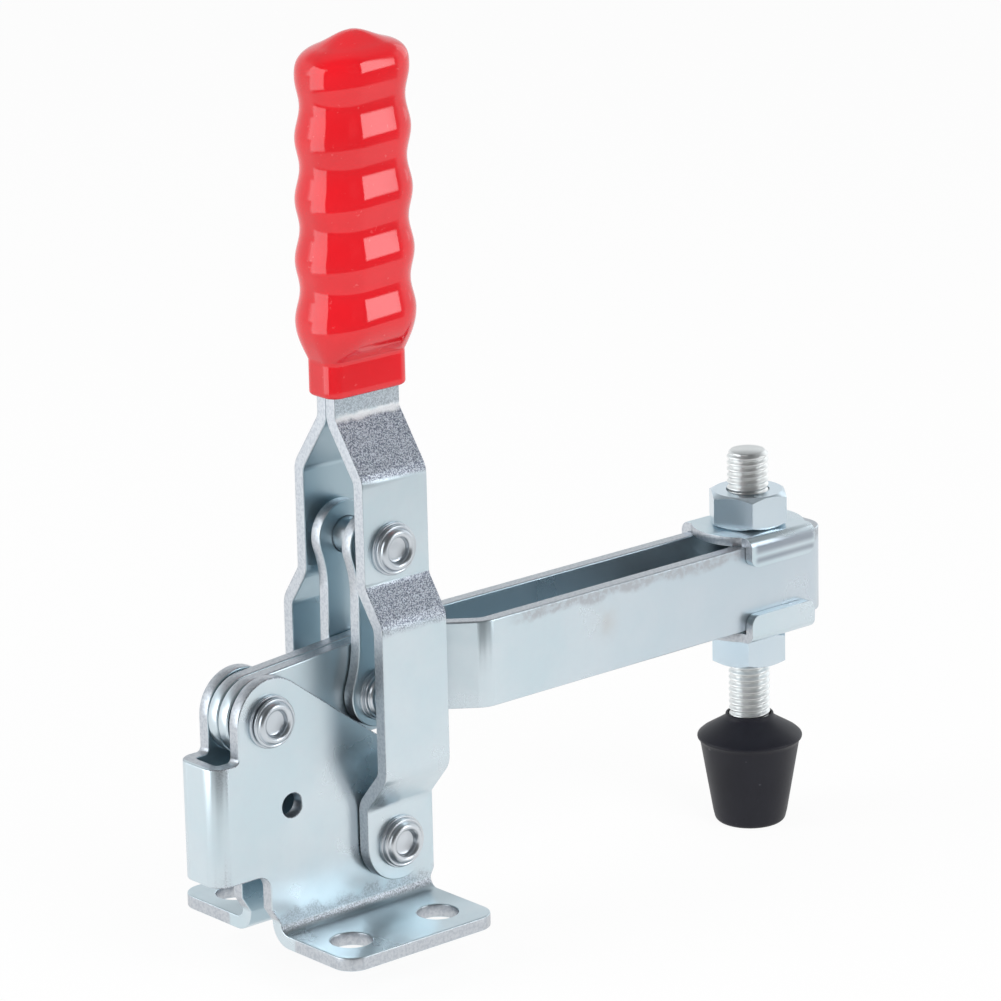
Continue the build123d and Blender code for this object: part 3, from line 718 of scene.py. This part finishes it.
def add_floor():
    """White floor; what the metal and the grip mirror of it ends a little way off."""
    bm = bmesh.new()
    for x, y in ((-1, -1), (1, -1), (1, 1), (-1, 1)):
        bm.verts.new((x * FLOOR_HALF, y * FLOOR_HALF, FLOOR_Z))
    bm.faces.new(bm.verts)
    s = Shade("floor_white")
    s.set(colour=(0.92, 0.92, 0.92), roughness=0.8, specular=0.1)
    glow = s.node("Emission").outputs[0]
    rays = s.node("LightPath").outputs
    side = s.math("SUBTRACT", s.x, TABLE_CENTRE_X * MM)
    reach = s.math("POWER", s.math("ADD", s.times(side, side), s.times(s.y, s.y)), 0.5)
    beyond = s.step(reach, (TABLE_REACH - TABLE_SOFT) * MM, (TABLE_REACH + TABLE_SOFT) * MM)
    nearer = s.step(s.math("ADD", s.times(s.x, 0.62), s.times(s.y, 0.73)), 0.1, 0.0)
    mirrored = s.times(rays["Is Glossy Ray"], beyond, nearer)
    seen_white = s.times(rays["Is Camera Ray"], FLOOR_SEEN)
    white = s.most(seen_white, s.times(rays["Is Glossy Ray"], FLOOR_MIRRORED))
    lit = s.join(white, s.shader.outputs[0], glow)
    seen = s.join(mirrored, lit, s.node("BsdfTransparent").outputs[0])
    s.feed(s.tree.nodes["Material Output"].inputs["Surface"], seen)
    finish_mesh("floor", bm, s.material)


def add_world():
    """White for the camera. For reflections a white wall behind the object, and a dim room
    with soft lights at both sides of the camera and a bright strip behind on the right."""
    world = bpy.data.worlds.new("studio")
    bpy.context.scene.world = world
    world.use_nodes = True
    world.node_tree.nodes.clear()
    g = Graph(world.node_tree)
    x, y, z = g.split(g.node("TexCoord").outputs["Generated"])
    turn = radians(CAMERA_AZIMUTH)
    ahead = g.math("SUBTRACT", g.times(y, cos(turn)), g.times(x, sin(turn)))
    right = g.math("ADD", g.times(x, cos(turn)), g.times(y, sin(turn)))
    bearing = g.math("ARCTAN2", right, g.times(ahead, -1.0))
    rise = g.math("ARCSINE", z)
    wall = g.times(g.step(ahead, -0.25, 0.25), g.between(g.step(rise, 0.45, 0.75), 1.0, 0.35))
    room = g.between(g.step(rise, -0.1, 0.5), 0.20, 0.13)
    strength = g.between(wall, room, WALL_LEVEL)
    for centre, half, lowest, power in MIRRORED_LIGHTS:
        box = g.band(bearing, radians(centre - half), radians(centre + half), radians(1.5))
        box = g.times(box, g.band(rise, radians(lowest), radians(MIRRORED_TOP), radians(2)))
        strength = g.between(box, strength, power)
    mirrored = g.node("Background")
    mirrored.inputs["Color"].default_value = (0.95, 0.98, 1.0, 1)
    g.feed(mirrored.inputs["Strength"], strength)
    soft = g.node("Background")
    soft.inputs["Strength"].default_value = DIFFUSE_LEVEL
    white = g.node("Background")
    rays = g.node("LightPath").outputs
    seen = g.join(rays["Is Glossy Ray"], soft.outputs[0], mirrored.outputs[0])
    seen = g.join(rays["Is Camera Ray"], seen, white.outputs[0])
    g.feed(g.node("OutputWorld").inputs["Surface"], seen)


def add_softbox(name, azimuth, elevation, distance, width, height, power):
    """A soft area light that looks at the middle of the object."""
    target = Vector((0.05, 0, 0.09))
    a, e = radians(azimuth), radians(elevation)
    away = Vector((sin(a) * cos(e), -cos(a) * cos(e), sin(e)))
    data = bpy.data.lights.new(name, "AREA")
    data.shape = "RECTANGLE"
    data.size = width
    data.size_y = height
    data.energy = power
    lamp = bpy.data.objects.new(name, data)
    lamp.visible_glossy = False
    lamp.location = target + away * distance
    lamp.rotation_euler = away.to_track_quat("Z", "Y").to_euler()
    bpy.context.scene.collection.objects.link(lamp)


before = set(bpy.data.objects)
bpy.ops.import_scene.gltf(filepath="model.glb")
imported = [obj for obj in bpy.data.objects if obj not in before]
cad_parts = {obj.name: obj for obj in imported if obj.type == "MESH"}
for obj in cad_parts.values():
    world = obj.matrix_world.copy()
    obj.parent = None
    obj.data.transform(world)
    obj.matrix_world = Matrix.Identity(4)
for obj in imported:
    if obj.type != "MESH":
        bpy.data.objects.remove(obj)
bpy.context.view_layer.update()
make_pieces()
add_camera()
add_floor()
add_world()
add_softbox("softbox_left", CAMERA_AZIMUTH - 70, 30, 1.6, 0.9, 1.3, 14)
add_softbox("softbox_right", CAMERA_AZIMUTH + 38, 32, 1.6, 0.9, 1.3, 16)
bpy.context.scene.view_settings.view_transform = "Standard"
